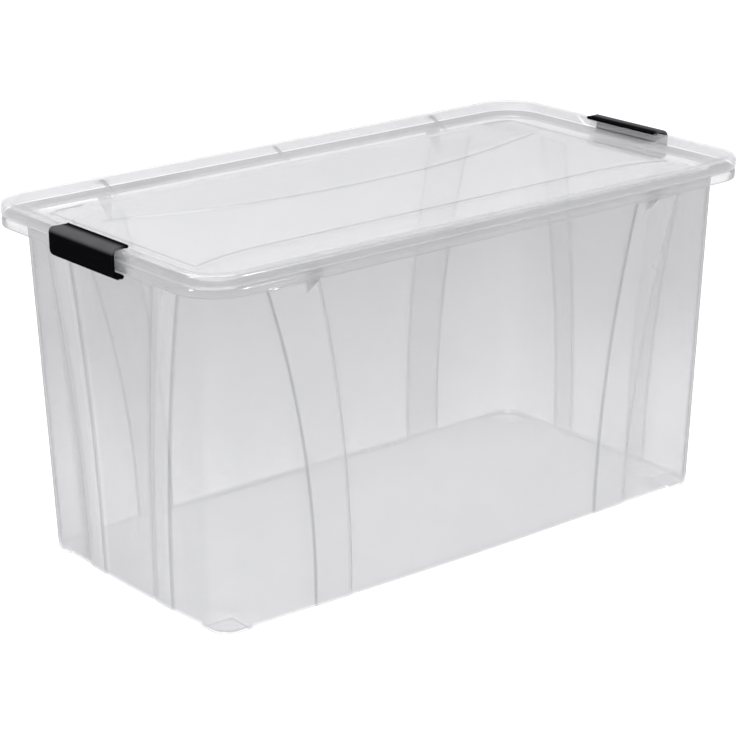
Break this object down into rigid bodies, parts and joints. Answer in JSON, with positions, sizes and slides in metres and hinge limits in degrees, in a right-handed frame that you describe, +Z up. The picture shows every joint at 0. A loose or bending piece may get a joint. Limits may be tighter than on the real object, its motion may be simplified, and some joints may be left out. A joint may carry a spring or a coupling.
{
  "type": "clear storage box with lid and clip handles",
  "caption": "Tapered translucent box with a tray-topped lid, held by a swinging black clip handle at each end.",
  "frame": {"origin": "on the ground under the middle of the box, level with the soles of its four feet", "axes": "+X along the length of the box, +Y across it, +Z up"},
  "size_m": [0.756, 0.396, 0.389],
  "materials": {
    "clear_plastic": "clear, slightly milky moulded polypropylene, smooth",
    "black_plastic": "black moulded plastic, satin"
  },
  "bodies": {
    "tub": {"tub": "clear_plastic"},
    "lid": {"lid": "clear_plastic"},
    "clip_left": {"clip_left": "black_plastic"},
    "clip_right": {"clip_right": "black_plastic"}
  },
  "joints": [
    {"name": "lid", "type": "slide", "parent": "tub", "child": "lid", "axis": [0, 0, 1], "range_m": [0, 0.25]},
    {"name": "clip_left", "type": "hinge", "parent": "tub", "child": "clip_left", "pos_m": [-0.363, 0, 0.3565], "axis": [0, -1, 0], "range_deg": [0, 120]},
    {"name": "clip_right", "type": "hinge", "parent": "tub", "child": "clip_right", "pos_m": [0.363, 0, 0.3565], "axis": [0, 1, 0], "range_deg": [0, 120]}
  ]
}
